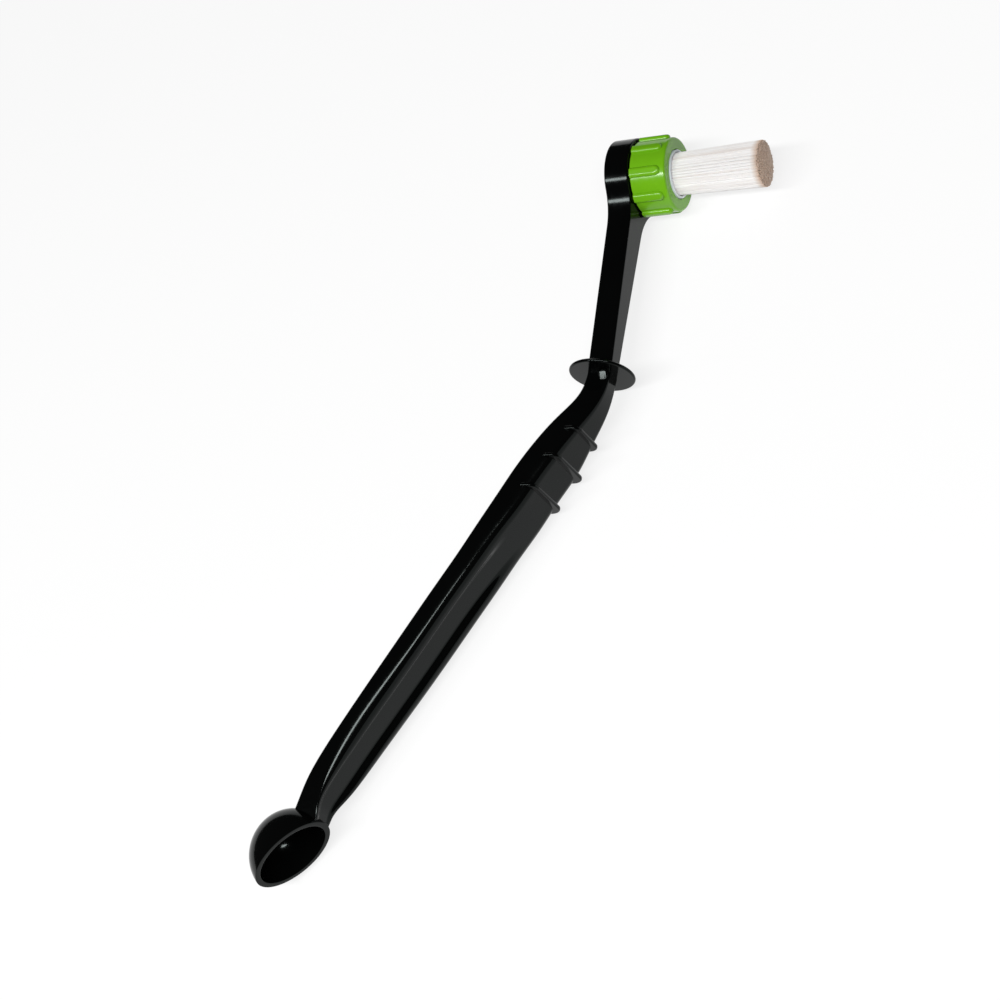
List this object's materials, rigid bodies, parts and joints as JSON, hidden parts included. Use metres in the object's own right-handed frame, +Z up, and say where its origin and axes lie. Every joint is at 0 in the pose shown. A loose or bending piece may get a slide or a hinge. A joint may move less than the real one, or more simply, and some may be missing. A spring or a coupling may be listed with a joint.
{
  "type": "group head brush",
  "caption": "Coffee machine group head brush: angled black handle with finger ribs, splash guard and a measuring scoop, and a screw-on round nylon brush held by a lobed green cap.",
  "frame": {"origin": "middle of the tool's footprint, on the table that it lies on", "axes": "+X is the way the bristles point, +Y runs up the neck to the brush head, +Z is up: the tool lies on its side"},
  "size_m": [0.124, 0.2204, 0.023],
  "materials": {
    "black_plastic": "gloss",
    "green_plastic": "satin gloss",
    "white_plastic": "satin",
    "nylon": "satin, slightly translucent"
  },
  "bodies": {
    "handle": {"handle": "black_plastic"},
    "brush_insert": {"brush_sleeve": "white_plastic", "bristle_tuft": "nylon"},
    "cap": {"cap_nut": "green_plastic"}
  },
  "joints": [
    {"name": "insert_slide", "type": "slide", "parent": "handle", "child": "brush_insert", "axis": [1, 0, 0], "range_m": [0, 0.00313]},
    {"name": "cap_turn", "type": "hinge", "parent": "brush_insert", "child": "cap", "pos_m": [0.0293, 0.09874, 0.01149], "axis": [1, 0, 0], "range_deg": [0, 450]}
  ],
  "couplings": [
    {"joint": "insert_slide", "follows": "cap_turn", "m_per_rad": 0.00039789}
  ]
}
